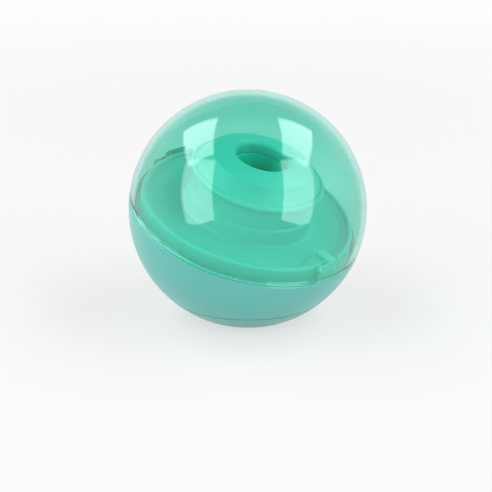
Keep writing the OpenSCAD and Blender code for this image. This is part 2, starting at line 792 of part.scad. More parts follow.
module battery_tray() color("ghostwhite")
    difference() {
        union() {
            translate([0, 0, tray_plate_z]) cylinder(r = tray_r, h = tray_plate_t);
            for (a = post_angles) rotate([0, 0, a]) translate([0, 0, tray_plate_z]) {
                translate([post_at_r, 0, 0]) cylinder(r = ear_r, h = tray_plate_t);
                translate([tray_r - ear_r, -ear_r, 0])
                    cube([post_at_r - tray_r + ear_r, 2 * ear_r, tray_plate_t]);
            }
            intersection() {
                block([-tray_half_w, -tray_half_l, hook_bottom + tray_lift],
                    [tray_half_w, tray_half_l, tray_plate_z + eps]);
                translate([0, 0, ball_z]) sphere(r = base_in_r - tray_lift);
            }
            for (p = board_posts) translate([p.x, p.y, tray_top - eps])
                cylinder(r = stand_r, h = board_up + eps);
        }
        for (i = [0 : cells - 1]) translate([cell_x(i), -bay_half, cell_z]) rotate([-90, 0, 0])
            cylinder(r = bay_r, h = 2 * bay_half);
        block([-bay_half_w, -bay_half, 0], [bay_half_w, bay_half, cell_z]);
        for (p = board_posts) translate([p.x, p.y, tray_plate_z + tray_plate_t / 2])
            cylinder(r = board_pilot_r, h = board_up + tray_plate_t);
        for (a = post_angles) rotate([0, 0, a]) translate([post_at_r, 0, tray_plate_z - past])
            cylinder(r = screw_hole_r, h = tray_plate_t + 2 * past);
        terminal_slots();
        for (s = [-1, 1]) translate([0, s * (bay_half - plate_t / 2), 0])
            block([-bay_half_w, -plate_t / 2, cell_z - past],
                [bay_half_w, plate_t / 2, strip_high + slot_play]);
    }

// Slots in the tray's plate for the two end terminals
module terminal_slots()
    for (end = [[cell_x(0), 1], [cell_x(cells - 1), -1]])
        translate([end[0], end[1] * (bay_half - plate_t / 2), 0])
            block([-riser_w / 2 - slot_play, -plate_t / 2 - slot_play, cell_z],
                [riser_w / 2 + slot_play, plate_t / 2 + slot_play, tray_top + past]);

module tray_screws() color("silver")
    for (a = post_angles) rotate([0, 0, a]) translate([post_at_r, 0, tray_top]) {
        cylinder(r = screw_head_r, h = screw_head_t);
        translate([0, 0, screw_free - tray_plate_t - screw_len]) cylinder(r = screw_r,
            h = tray_plate_t + screw_len - screw_free + eps);
    }

module battery_cells() color("dimgray")
    for (i = [0 : cells - 1])
        translate([cell_x(i), cell_way(i) * (bay_half - plate_t - cell_end_play), cell_z])
            rotate([cell_way(i) * 90, 0, 0]) {
                cylinder(r = button_r, h = button_len + eps);
                translate([0, 0, button_len]) cylinder(r = cell_r, h = cell_len - button_len);
            }

module contact_springs() color("silver")
    for (i = [0 : cells - 1])
        translate([cell_x(i), -cell_way(i) * (bay_half - plate_t), cell_z])
            rotate([-90 * cell_way(i), 0, 0])
                coil(spring_wide_r, spring_tip_r, spring_wire / 2, spring_turns,
                    spring_room - 2 * cell_end_play);

// Strips behind the cells: two end terminals and the links between neighbours
module contact_plates() color("gold") {
    // terminal at the back, up to the board
    block([cell_x(0) - strip_w / 2, bay_half - plate_t, strip_low],
        [cell_x(0) + strip_w / 2, bay_half, strip_high]);
    block([cell_x(0) - riser_w / 2, bay_half - plate_t, strip_high - eps],
        [cell_x(0) + riser_w / 2, bay_half, board_z]);
    // link at the front, and link at the back
    block([cell_x(0) - strip_w / 2, -bay_half, strip_low],
        [cell_x(1) + strip_w / 2, -bay_half + plate_t, strip_high]);
    block([cell_x(1) - strip_w / 2, bay_half - plate_t, strip_low],
        [cell_x(2) + strip_w / 2, bay_half, strip_high]);
    // terminal at the front, along the tray's plate and up to the board
    block([cell_x(2) - strip_w / 2, -bay_half, strip_low],
        [cell_x(2) + strip_w / 2, -bay_half + plate_t, strip_high]);
    block([cell_x(2) - riser_w / 2, -bay_half, strip_high - eps],
        [cell_x(2) + riser_w / 2, -bay_half + plate_t, tray_top + plate_t]);
    block([cell_x(2) - riser_w / 2, -bay_half, tray_top],
        [cell_x(2) + riser_w / 2, terminal_end, tray_top + plate_t]);
    block([cell_x(2) - riser_w / 2, terminal_end - plate_t, tray_top],
        [cell_x(2) + riser_w / 2, terminal_end, board_z]);
}

// --- hinge, lid and latch ------------------------------------------------------------------

module hinge_pin() color("silver") on_seam()
    rod_x(pin_d / 2, 2 * (knuckle_reach - pin_inset), hinge_y, hinge_h);

module lid_skin() difference() {
    sphere(r = ball_r);
    sphere(r = lid_in_r);
    below(seam_h + line_gap);
    bevel_ring(seam_h + line_gap, 1);
}

// Lugs inside the lid for the snap tab's pivots, and the rib that presses the switch
module lid_fittings() intersection() {
    sphere(r = ball_r - lid_wall / 2);
    union() {
        for (s = [-1, 1]) translate([s * (tab_w / 2 + lug_gap + lug_t / 2), 0, 0]) {
            rod_x(lug_r, lug_t, -tab_pivot_r, tab_pivot_z);
            block([-lug_t / 2, -ball_r, tab_pivot_z - lug_r],
                [lug_t / 2, -tab_pivot_r, tab_pivot_z + lug_r]);
        }
        block([-presser_w / 2, -ball_r, plunger_top_h + presser_gap],
            [presser_w / 2, plunger_y + presser_w / 2, plunger_top_h + presser_gap + presser_t]);
    }
}

module lid_shell() color(lid_colour) on_seam()
    difference() {
        union() {
            difference() {
                lid_skin();
                for (s = [-1, 1]) translate([s * (knuckle_reach - base_knuckle_w / 2), 0, 0])
                    rod_x(hinge_relief_r, base_knuckle_w + 2 * knuckle_gap, hinge_y, hinge_h);
            }
            lid_fittings();
            rod_x(knuckle_r, lid_knuckle_w, hinge_y, hinge_h);
            intersection() {
                knuckle_arm(lid_knuckle_w, 1);
                above(hinge_h - eps);
            }
        }
        rod_x(pin_d / 2 + pin_play, lid_knuckle_w + past, hinge_y, hinge_h);
        rod_x(tab_pin_r + tab_pin_play, tab_w + 2 * (lug_gap + tab_pin_len), -tab_pivot_r,
            tab_pivot_z);
    }

module latch_tab() color(base_colour) on_seam() {
    block([-tab_w / 2, -tab_out_r, tab_bottom_h], [tab_w / 2, -tab_in_r, tab_pivot_z]);
    rod_x(tab_t / 2, tab_w, -tab_pivot_r, tab_pivot_z);
    rod_x(tab_pin_r, tab_w + 2 * (lug_gap / 2 + tab_pin_len), -tab_pivot_r, tab_pivot_z);
}

module switch_plunger() color(deck_colour) on_seam() translate([0, plunger_y, 0]) {
    translate([0, 0, plunger_bottom_h])
        cylinder(r = plunger_r, h = plunger_top_h - plunger_bottom_h);
    translate([0, 0, collar_top_h - collar_t]) cylinder(r = collar_r, h = collar_t);
}

// --- battery cover and foot -----------------------------------------------------------------

module battery_cover() color(base_colour)
    difference() {
        union() {
            intersection() {
                translate([0, 0, ball_z]) sphere(r = ball_r);
                above(pad_out);
                below(cover_line);
            }
            for (a = hook_angles) {
                sector(hook_in_r, hook_r, cover_line - hook_root, hook_bottom + hook_t, a, hook_w);
                sector(hook_in_r, hook_tip_r, hook_bottom, hook_bottom + hook_t, a, hook_w);
            }
        }
        translate([0, 0, ball_z]) bevel_ring(cover_line - ball_z, -1);
        difference() {
            intersection() {
                translate([0, 0, ball_z]) sphere(r = cover_in_r);
                above(cover_floor);
                below(cover_line + past);
            }
            for (a = hook_angles) sector(hook_in_r, ball_r, 0, cover_line + 2 * past, a, hook_w);
        }
        translate([0, 0, pad_out - past]) cylinder(r = pad_r + pad_play,
            h = recess_depth + past);
    }

module foot_pad() color([0.3, 0.32, 0.33]) cylinder(r = pad_r, h = pad_t);

base_shell();
deck();
tower_cap();
teat_guard();
reflector_cup();
uv_lamp();
lamp_socket();
lamp_leads();
circuit_board();
transformer();
capacitors();
controller_chip();
board_screws();
lid_switch();
switch_leads();
battery_tray();
tray_screws();
battery_cells();
contact_springs();
contact_plates();
hinge_pin();
lid_shell();
latch_tab();
switch_plunger();
battery_cover();
foot_pad();
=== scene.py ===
"""Looks of the pacifier sterilizer case: smooth moulded pieces, materials, studio and camera.

Lengths in the piece makers are millimetres. A piece is drawn in one of two frames: UPRIGHT, which
is the model's own frame, or SEAM, which has its origin at the ball's centre, z along the normal
of the parting plane between lid and base, and -y down the slope to the front.
"""
import json
from math import asin, cos, pi, radians, sin, sqrt, tan

import bmesh
import bpy
from mathutils import Matrix, Vector

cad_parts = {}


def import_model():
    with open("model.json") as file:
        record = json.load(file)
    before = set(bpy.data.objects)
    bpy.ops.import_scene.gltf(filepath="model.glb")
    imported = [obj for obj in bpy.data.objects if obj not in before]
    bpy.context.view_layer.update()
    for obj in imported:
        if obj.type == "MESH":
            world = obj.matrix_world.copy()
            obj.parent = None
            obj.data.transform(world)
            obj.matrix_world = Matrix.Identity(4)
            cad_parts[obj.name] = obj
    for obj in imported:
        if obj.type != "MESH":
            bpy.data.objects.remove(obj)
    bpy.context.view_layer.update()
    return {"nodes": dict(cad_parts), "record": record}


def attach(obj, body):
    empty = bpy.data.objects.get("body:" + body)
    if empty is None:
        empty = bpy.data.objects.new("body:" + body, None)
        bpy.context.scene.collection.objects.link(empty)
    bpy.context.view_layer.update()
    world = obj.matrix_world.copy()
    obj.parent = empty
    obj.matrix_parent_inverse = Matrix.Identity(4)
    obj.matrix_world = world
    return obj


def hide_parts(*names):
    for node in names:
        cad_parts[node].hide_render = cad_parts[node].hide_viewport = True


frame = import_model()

SLOTS = {part["node"]: part["material_slot"] for part in frame["record"]["subparts"]}
MM = 0.001

# --- sizes of the construction, in millimetres and degrees ---------------------------------

# Ball, parting line and walls
BALL_R = 46
FOOT_CUT = 4.2
SEAM_TILT = 19.5
SEAM_DROP = 3.4
LINE_GAP = 0.3
LID_WALL = 2
BASE_WALL = 2.4
DECK_WALL = 1.8
CAP_WALL = 1.6

# Radii that round an edge which has no radius of its own, from the finest to the softest
FINE = 0.15
THIN = 0.2
SNUG = 0.25
SOFT = 0.3

# Edge band along the lid's foot, in a darker, less clear mint that is painted shade for the seam's
# dark line, and the hairline between it and the clear shell
LID_EDGE_H = 0.6
LID_EDGE_ROUND_IN = 0.25
LID_EDGE_ROUND_OUT = 0.45
HAIRLINE = 0.02

# Deck: upstand, dish, flange, and the front arch that spreads over the upstand's top
RIM_GAP = 2
RIM_HEIGHT = 5.4
RIM_ROUND_OUT = 0.88
RIM_ROUND_IN = 0.7
RIM_SLOPE = 0.4
RIM_FOOT_H = 0.9
DISH_COVE = 2.87
DISH_DEPTH = 1.9
DISH_ROUND = 3
UNDER_SLOPE = 1.2
FLANGE_DROP = 0.4
FLANGE_T = 1.6
FLANGE_PLAY = 0.25
ARCH_R = 8
ARCH_RISE = 1.3
ARCH_SPREAD = 7.6
ARCH_END = 30
ARCH_ROUND = 0.35

# Tower: flared foot, step, ledge for the reflector, and skirt
TOWER_R = 23.8
TOWER_TOP = 14.2
TOWER_DRAFT = 0.2
TOWER_ROUND = 0.4
FOOT_FLARE = 1.7
FOOT_ROUND = 1.5
STEP_H = 6.3
STEP_OUT = 0.9
STEP_UP = 0.5
HANG_H = 12
HANG_W = 1.2
SKIRT_DROP = 6
SKIRT_FLARE = 0.4
SKIRT_ROUND = 0.5

# Cap: bead, hollow flank, ridge, dome, lip, sleeve and spigot
BEAD_OVER = 2.3
BEAD_H = 2.5
BEAD_END = 120
CAP_GAP = 0.6
FLANK_IN = 0.3
FLANK_UP = 0.15
FLANK_HOLLOW = 0.3
RIDGE_R = 19.8
RIDGE_ROUND = 1.2
DOME_RISE = 7.8
DOME_POWER = 2.5
HOLE_R = 10.2
LIP_R = 2.1
SLEEVE_UP = 1.7
SPIGOT_PLAY = 0.15
SEAT_PLAY = 0.1

# Guard round the teat, and the reflector that it stands in
GUARD_R = 11
GUARD_WALL = 1.2
GUARD_ROUND = 0.5
GUARD_FLANGE = 1.6
GUARD_COLLAR = 9
GUARD_FOOT = 3
MOUTH_INSET = 0.1
MOUTH_ROUND = 1
FUNNEL_ROUND = 3
WINDOWS = 8
WINDOW_W = 5
WINDOW_ROUND = 1
CUP_DROP = 11
CUP_T = 0.8

# Hinge
PIN_R = 0.8
PIN_INSET = 0.2
PIN_ROUND = 0.35
BORE_PLAY = 0.05
KNUCKLE_R = 2.2
KNUCKLE_GAP = 0.3
LID_KNUCKLE_W = 11
BASE_KNUCKLE_W = 4.8
HINGE_OUT = 0.35
ARM_H = 5.5
ARM_LEAN = 0.4
ARM_INSET = 0.1

# Snap tab with its pivots, the lid's lugs that hold it, and the deck's bead that it clicks over
TAB_W = 8.6
TAB_T = 1.1
TAB_PIVOT_H = 6
TAB_PIN_R = 0.5
TAB_PIN_LEN = 0.8
TAB_PIN_ROUND = 0.1
TAB_PLAY = 0.4
TAB_UP = 0.3
SOCKET_END = 0.1
LUG_T = 1.2
LUG_R = 1.1
LUG_GAP = 0.2
CATCH_OUT = 0.25
CATCH_UP = 2.6
CATCH_HALF = 0.3
CATCH_INSET = 1

# Lid switch, its plunger, the deck's ribs beside it, and the lid's rib that presses it
PLUNGER_R = 1.3
PLUNGER_ROUND = 0.6
PLUNGER_TRAVEL = 1.2
PLUNGER_UP = 0.8
PLUNGER_IN = 3.2
PLUNGER_PLAY = 0.15
PLUNGER_SUNK = 0.4
STOP_GAP = 0.25
COLLAR = 0.8
SWITCH_W = 9
SWITCH_D = 5.6
SWITCH_H = 3.6
SWITCH_PLAY = 0.2
RIB_T = 1.2
RIB_INSET = 1.6
RIB_ROOT = 0.5
PRESSER_GAP = 0.3
PRESSER_T = 1.4
PRESSER_W = 3.2
PRESSER_ROUND = 0.6

# Foot pad, and its grip grooves: the radius of each one's middle, and its half widths
PAD_R = 17.5
PAD_T = 1.4
PAD_ROUND = 0.35
GROOVES = (5.0, 9.5, 14.0)
GROOVE_MOUTH = 0.9
GROOVE_ROOF = 0.6
GROOVE_DEPTH = 0.35

BALL_Z = BALL_R - FOOT_CUT
SEAM_H = -SEAM_DROP
SEAM_R = sqrt(BALL_R ** 2 - SEAM_DROP ** 2)
LID_LOW = SEAM_H + LINE_GAP
LID_IN_R = BALL_R - LID_WALL
BASE_IN_R = BALL_R - BASE_WALL
RIM_R = sqrt(LID_IN_R ** 2 - SEAM_DROP ** 2) - RIM_GAP
RIM_IN_R = RIM_R - DECK_WALL
RIM_FOOT_R = RIM_IN_R - RIM_SLOPE
RIM_TOP = SEAM_H + RIM_HEIGHT
DISH_R = RIM_FOOT_R - DISH_COVE
DISH_H = RIM_TOP - DISH_DEPTH
UNDER_H = DISH_H - DECK_WALL
FLANGE_TOP = SEAM_H - FLANGE_DROP
LEDGE_H = FLANGE_TOP - FLANGE_T
FLANGE_R = sqrt(BASE_IN_R ** 2 - LEDGE_H ** 2) - FLANGE_PLAY
TOWER_IN_R = TOWER_R - DECK_WALL
SKIRT_IN_R = TOWER_IN_R - HANG_W
SPIGOT_R = TOWER_IN_R - SPIGOT_PLAY
SPIGOT_LOW = HANG_H + CUP_T + SEAT_PLAY
CAP_R = TOWER_R + BEAD_OVER
BEAD_LOW = TOWER_TOP + CAP_GAP
BEAD_TOP = BEAD_LOW + BEAD_H
DOME_R = CAP_R - BEAD_H / 2
SLEEVE_R = HOLE_R + CAP_WALL
SLEEVE_LOW = BEAD_TOP + SLEEVE_UP
GUARD_LOW = -CUP_DROP + CUP_T
GUARD_TOP = SLEEVE_LOW - SEAT_PLAY
HINGE_Y = SEAM_R + HINGE_OUT
KNUCKLE_REACH = LID_KNUCKLE_W / 2 + KNUCKLE_GAP + BASE_KNUCKLE_W
TAB_IN_R = RIM_R + TAB_PLAY
TAB_MID_R = TAB_IN_R + TAB_T / 2
TAB_PIVOT_Z = SEAM_H + TAB_PIVOT_H
TAB_REACH = TAB_W / 2 + LUG_GAP / 2 + TAB_PIN_LEN
CATCH_H = SEAM_H + CATCH_UP
ARCH_TOP = RIM_TOP + ARCH_RISE
PLUNGER_Y = -(RIM_R - PLUNGER_IN)
PLUNGER_TOP = ARCH_TOP + PLUNGER_UP
PRESSER_LOW = PLUNGER_TOP + PRESSER_GAP
COLLAR_TOP = UNDER_H - SEAT_PLAY
SWITCH_TOP = COLLAR_TOP - COLLAR - PLUNGER_TRAVEL - STOP_GAP
SWITCH_FRONT = PLUNGER_Y - PLUNGER_R - COLLAR
SWITCH_BACK = SWITCH_FRONT + SWITCH_D
POCKET_HALF = SWITCH_W / 2 + SWITCH_PLAY

UPRIGHT = Matrix.Identity(4)
SEAM = Matrix.Translation((0, 0, BALL_Z)) @ Matrix.Rotation(radians(SEAM_TILT), 4, "X")
# Turns that lay a piece's own z axis along x, or along -y
ALONG_X = Matrix(((0, 0, 1, 0), (1, 0, 0, 0), (0, 1, 0, 0), (0, 0, 0, 1)))
ALONG_FRONT = Matrix(((1, 0, 0, 0), (0, 0, -1, 0), (0, 1, 0, 0), (0, 0, 0, 1)))

# How far a tool, or a blank that is trimmed later, runs past a face
PAST = 1
# How far a fitting reaches into the skin that carries it
ROOT = 0.1

# Segments round a large and a small piece, and along the curves of a section
ROUND_STEPS = 240
SMALL_STEPS = 48
SKIN_STEPS = 72
INSIDE_STEPS = 90
SKIN_CUT_STEPS = 60
ARCH_STEPS = 32
BEAD_STEPS = 16
DOME_STEPS = 14
CURVE_STEPS = 10

# The angle between two faces from which a prism's edge is rounded, and from which shading breaks
CREASE = 25
SHARP = 32
# A smaller radius than this is on the axis
ON_AXIS = 1e-6


# --- mesh helpers ------------------------------------------------------------------------------

def make(name, verts, faces, place=UPRIGHT):
    """A mesh object from points in millimetres in the frame place."""
    mesh = bpy.data.meshes.new(name)
    mesh.from_pydata([MM * (place @ Vector(v)) for v in verts], [], faces)
    bm = bmesh.new()
    bm.from_mesh(mesh)
    bmesh.ops.recalc_face_normals(bm, faces=bm.faces)
    bm.to_mesh(mesh)
    bm.free()
    obj = bpy.data.objects.new(name, mesh)
    bpy.context.scene.collection.objects.link(obj)
    return obj


def spread(low, high, steps):
    """Evenly spaced values from low to high, both included."""
    return [low + (high - low) * k / steps for k in range(steps + 1)]


def arc(centre, radius, start, end, steps):
    """Points along a circular arc, with its angles in degrees."""
    angles = [radians(a) for a in spread(start, end, steps)]
    return [(centre[0] + radius * cos(a), centre[1] + radius * sin(a)) for a in angles]


def rounded(corners, steps=6):
    """Closed loop of points. A corner given as (u, v, radius) becomes an arc."""
    loop = []
    for i, corner in enumerate(corners):
        if len(corner) == 2:
            loop.append(tuple(corner))
            continue
        here = Vector(corner[:2])
        before = (Vector(corners[i - 1][:2]) - here).normalized()
        after = (Vector(corners[(i + 1) % len(corners)][:2]) - here).normalized()
        half = before.angle(after) / 2
        centre = here + (before + after).normalized() * corner[2] / sin(half)
        first = here + before * corner[2] / tan(half) - centre
        turn = first.angle_signed(here + after * corner[2] / tan(half) - centre)
        for k in range(steps + 1):
            a = -turn * k / steps
            loop.append((centre.x + first.x * cos(a) - first.y * sin(a),
                         centre.y + first.x * sin(a) + first.y * cos(a)))
    return loop


def skin_arc(radius, low, high, steps):
    """Points (r, h) along a sphere's half section, from height low to height high."""
    angles = spread(asin(max(-1, low / radius)), asin(min(1, high / radius)), steps)
    return [(max(0, radius * cos(t)), radius * sin(t)) for t in angles]


def revolve(name, loop, place=SEAM, steps=ROUND_STEPS, lift=None):
    """Closed solid of revolution from a loop of (r, z). lift(r, z, angle) can raise a point."""
    verts, rows = [], []
    for r, z in loop:
        if r < ON_AXIS:
            rows.append([len(verts)] * steps)
            verts.append((0, 0, z))
            continue
        rows.append([len(verts) + k for k in range(steps)])
        for k in range(steps):
            a = 2 * pi * k / steps
            verts.append((r * cos(a), r * sin(a), z + (lift(r, z, a) if lift else 0)))
    faces = []
    for low, high in zip(rows, rows[1:] + rows[:1]):
        for k in range(steps):
            n = (k + 1) % steps
            face = list(dict.fromkeys([low[k], low[n], high[n], high[k]]))
            if len(face) > 2:
                faces.append(face)
    return make(name, verts, faces, place)


def rod(name, radius, low, high, y, z, edge=0.0):
    """Rod along x from low to high in the SEAM frame. An edge rounds its ends."""
    ends = [(0, low), (radius, low, edge), (radius, high, edge), (0, high)]
    loop = rounded(ends, steps=4) if edge else [end[:2] for end in ends]
    return revolve(name, loop, SEAM @ Matrix.Translation((0, y, z)) @ ALONG_X, SMALL_STEPS)


def prism(name, outline, low, high, place=SEAM, edge=0.0):
    """Prism on a closed outline, from low to high along its own z. An edge rounds its creases."""
    n = len(outline)
    verts = [(u, v, w) for w in (low, high) for u, v in outline]
    faces = [list(range(n)), list(range(2 * n - 1, n - 1, -1))]
    faces += [[k, (k + 1) % n, n + (k + 1) % n, n + k] for k in range(n)]
    obj = make(name, verts, faces, place)
    if edge:
        bm = bmesh.new()
        bm.from_mesh(obj.data)
        creases = [e for e in bm.edges if e.calc_face_angle(0) > radians(CREASE)]
        bmesh.ops.bevel(bm, geom=creases, offset=edge * MM, segments=3, affect="EDGES",
                        profile=0.5)
        bm.to_mesh(obj.data)
        bm.free()
    return obj


def block(name, low, high, edge=0.0, place=SEAM):
    """Box between two corners."""
    (x0, y0, z0), (x1, y1, z1) = low, high
    return prism(name, [(x0, y0), (x1, y0), (x1, y1), (x0, y1)], z0, z1, place, edge)


def combine(target, operation, tools):
    """Boolean of the target with each of the tools, which are then removed."""
    for tool in tools:
        step = target.modifiers.new("step", "BOOLEAN")
        step.operation = operation
        step.object = tool
        step.solver = "MANIFOLD"
        with bpy.context.temp_override(object=target, active_object=target):
            bpy.ops.object.modifier_apply(modifier=step.name)
        bpy.data.objects.remove(tool)
    return target


def join(target, *tools):
    return combine(target, "UNION", tools)


def cut(target, *tools):
    return combine(target, "DIFFERENCE", tools)


def smooth(obj):
    """Smooth shading, broken at sharp edges."""
    obj.data.polygons.foreach_set("use_smooth", [True] * len(obj.data.polygons))
    obj.data.set_sharp_from_angle(angle=radians(SHARP))
    return obj


# --- materials ---------------------------------------------------------------------------------

# Where a source from 0 to 1, such as noise, counts as low and as high
SOURCE_LOW = 0.3
SOURCE_HIGH = 0.7

# Waves per metre of the clouds in a colour, of uneven gloss, and of a clear wall's ripple
CLOUD_SCALE = 35
GLOSS_SCALE = 90
RIPPLE_SCALE = 60
# Octaves of the clouds and the gloss, and of the grain and the ripple
BROAD_DETAIL = 3
GRAIN_DETAIL = 2

# Height of the ripple in metres, and the darker clouds' share of the colour
RIPPLE_HEIGHT = 6e-6
CLOUD_TONE = 0.96


def empty_material(name):
    """A new material and its node tree, which holds no nodes yet."""
    mat = bpy.data.materials.new(name)
    mat.use_nodes = True
    mat.node_tree.nodes.clear()
    return mat, mat.node_tree


def add(tree, kind, settings=None):
    """A new shader node, with some of its sockets set by name."""
    node = tree.nodes.new("ShaderNode" + kind)
    for socket, value in (settings or {}).items():
        node.inputs[socket].default_value = value
    return node


def noise(tree, scale, detail):
    """Noise in object space, with its scale in waves per metre."""
    tex = add(tree, "TexNoise", {"Scale": scale, "Detail": detail})
    tree.links.new(add(tree, "TexCoord").outputs["Object"], tex.inputs["Vector"])
    return tex.outputs["Fac"]


def ranged(tree, source, low, high, start=SOURCE_LOW, end=SOURCE_HIGH):
    """The source, which goes from start to end, spread over low to high."""
    span = add(tree, "MapRange", {"From Min": start, "From Max": end,
                                  "To Min": low, "To Max": high})
    tree.links.new(source, span.inputs["Value"])
    return span.outputs["Result"]


def two_tone(tree, source, colour, other):
    """The colour where the source is high, and the other one where it is low."""
    ramp = add(tree, "ValToRGB")
    stops = zip(ramp.color_ramp.elements, (SOURCE_LOW, SOURCE_HIGH), (other, colour))
    for stop, position, tint in stops:
        stop.position = position
        stop.color = (*tint, 1)
    tree.links.new(source, ramp.inputs["Fac"])
    return ramp.outputs["Color"]


def relief(tree, scale, height):
    """Bump of fine noise, with its height in metres."""
    bump = add(tree, "Bump", {"Distance": height})
    tree.links.new(noise(tree, scale, GRAIN_DETAIL), bump.inputs["Height"])
    return bump.outputs["Normal"]


def maths(tree, operation, first, second):
    """Result of an operation on two values."""
    node = add(tree, "Math")
    node.operation = operation
    tree.links.new(first, node.inputs[0])
    tree.links.new(second, node.inputs[1])
    return node.outputs[0]


def any_of(tree, *rays):
    """1 for a ray of any of these kinds, by the names that Light Path gives them."""
    path = add(tree, "LightPath")
    found = path.outputs[rays[0]]
    for ray in rays[1:]:
        found = maths(tree, "MAXIMUM", found, path.outputs[ray])
    return found


def mixed(tree, share, first, second):
    """The first shader, with a share from 0 to 1 of the second."""
    mix = add(tree, "MixShader")
    for socket, source in enumerate((share, first, second)):
        tree.links.new(source, mix.inputs[socket])
    return mix.outputs[0]


def lets_light(tree, shader, tint):
    """The shader, but lamps and bounced light pass it straight and come out tinted."""
    straight = add(tree, "BsdfTransparent", {"Color": (*[sqrt(c) for c in tint], 1)})
    rays = any_of(tree, "Is Shadow Ray", "Is Diffuse Ray")
    return mixed(tree, rays, shader, straight.outputs["BSDF"])


def shaded(name, colour, rough=(0.3, 0.4), grain=2600, depth=3e-6, metal=0.0, coat=0.0,
           soft=0.0, through=None):
    """Principled finish with cloudy colour, uneven gloss and a fine moulded or drawn grain.

    A number for through is the share of clear plastic in it, and lets light pass.
    """
    mat, tree = empty_material(name)
    out = add(tree, "OutputMaterial")
    body = add(tree, "BsdfPrincipled", {
        "Metallic": metal,
        "Coat Weight": coat,
        "Coat Roughness": 0.08,
        "Subsurface Weight": soft,
        "Subsurface Radius": (0.4, 1.0, 0.8),
        "Subsurface Scale": 0.002,
        "Transmission Weight": through or 0,
    })
    clouds = noise(tree, CLOUD_SCALE, BROAD_DETAIL)
    gloss = noise(tree, GLOSS_SCALE, BROAD_DETAIL)
    tinted = two_tone(tree, clouds, colour, [CLOUD_TONE * c for c in colour])
    tree.links.new(tinted, body.inputs["Base Color"])
    tree.links.new(ranged(tree, gloss, *rough), body.inputs["Roughness"])
    tree.links.new(relief(tree, grain, depth), body.inputs["Normal"])
    shader = body.outputs["BSDF"]
    if through is not None:
        shader = lets_light(tree, shader, colour)
    tree.links.new(shader, out.inputs["Surface"])
    return mat


def clear(name, tint, rough=(0.015, 0.045), ior=1.49, slanting=None):
    """Clear plastic or glass. Its tint can turn to slanting, where a look meets more wall."""
    mat, tree = empty_material(name)
    out = add(tree, "OutputMaterial")
    glass = add(tree, "BsdfPrincipled", {
        "Base Color": (*tint, 1),
        "Transmission Weight": 1,
        "IOR": ior,
    })
    gloss = noise(tree, GLOSS_SCALE, BROAD_DETAIL)
    tree.links.new(ranged(tree, gloss, *rough), glass.inputs["Roughness"])
    tree.links.new(relief(tree, RIPPLE_SCALE, RIPPLE_HEIGHT), glass.inputs["Normal"])
    if slanting:
        facing = add(tree, "LayerWeight").outputs["Facing"]
        tree.links.new(two_tone(tree, facing, slanting, tint), glass.inputs["Base Color"])
    tree.links.new(lets_light(tree, glass.outputs["BSDF"], tint), out.inputs["Surface"])
    return mat


MINT = (0.105, 0.47, 0.42)
MINT_DECK = (0.15, 0.65, 0.58)
# Painted shade: the teat guard gets a more saturated green than the deck, for the deep green of
# shade and light bounced inside the cap's hole
MINT_HOLE_SHADE = (0.03, 0.78, 0.62)
# Painted shade: the darker, nearly opaque mint of the lid's foot band stands in for the shaded
# line at the seam
MINT_SEAM_SHADE = (0.09, 0.6, 0.46)
MINT_TAB = (0.23, 0.75, 0.64)
MINT_WEB = (0.35, 0.86, 0.76)
MINT_THROUGH = (0.45, 0.88, 0.78)
MINT_SLANTING = (0.24, 0.74, 0.62)

FINISH = {
    "mint_satin": shaded("mint_satin", MINT, rough=(0.32, 0.36), soft=0.2, coat=0.15),
    "mint_gloss": shaded("mint_gloss", MINT_DECK, rough=(0.28, 0.33), soft=0.25, grain=1800),
    "mint_hole_shade": shaded("mint_hole_shade", MINT_HOLE_SHADE, rough=(0.34, 0.4), soft=0.3, grain=1800),
    "mint_seam_shade": shaded("mint_seam_shade", MINT_SEAM_SHADE, rough=(0.2, 0.25), soft=0.3, through=0.0),
    "mint_clear": clear("mint_clear", MINT_THROUGH, slanting=MINT_SLANTING),
    "mint_clear_tab": shaded("mint_clear_tab", MINT_TAB, rough=(0.25, 0.3), through=0.15),
    "mint_clear_web": shaded("mint_clear_web", MINT_WEB, rough=(0.25, 0.3), through=0.55),
    "reflector": shaded("reflector", (0.82, 0.83, 0.84), rough=(0.12, 0.2), metal=1.0, depth=1e-6),
    "quartz": clear("quartz", (0.9, 0.93, 1.0), ior=1.46),
    "ceramic_white": shaded("ceramic_white", (0.8, 0.78, 0.72), rough=(0.5, 0.65)),
    "lead_wire": shaded("lead_wire", (0.75, 0.75, 0.74), rough=(0.4, 0.5)),
    "board": shaded("board", (0.02, 0.17, 0.06), rough=(0.25, 0.4), grain=900, depth=8e-6),
    "dark_core": shaded("dark_core", (0.045, 0.045, 0.05), rough=(0.5, 0.7)),
    "can_sleeve": shaded("can_sleeve", (0.02, 0.03, 0.07), rough=(0.2, 0.3)),
    "black_plastic": shaded("black_plastic", (0.025, 0.025, 0.027), rough=(0.4, 0.55)),
    "screw_steel": shaded("screw_steel", (0.62, 0.63, 0.64), rough=(0.22, 0.35), metal=1.0),
    "white_plastic": shaded("white_plastic", (0.78, 0.79, 0.78), rough=(0.35, 0.45)),
    "cell_metal": shaded("cell_metal", (0.42, 0.43, 0.45), rough=(0.25, 0.35), metal=1.0),
    "contact_metal": shaded("contact_metal", (0.7, 0.67, 0.6), rough=(0.2, 0.32), metal=1.0),
    "pad_rubber": shaded("pad_rubber", (0.09, 0.32, 0.28), rough=(0.6, 0.75), grain=1500,
                         depth=1.5e-5),
}


def dress(obj, finish, body=None, node=None):
    """Gives a piece its finish. A new piece is also smoothed and hung on its body, and the node
    that it stands for is hidden.
    """
    obj.data.materials.clear()
    obj.data.materials.append(FINISH[finish])
    if body:
        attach(smooth(obj), body)
        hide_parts(node)


# --- lid ---------------------------------------------------------------------------------------

def on_side(side, near, far):
    """The left and the right end of a span on one side of the middle, where side is 1 or -1."""
    return sorted((side * near, side * far))


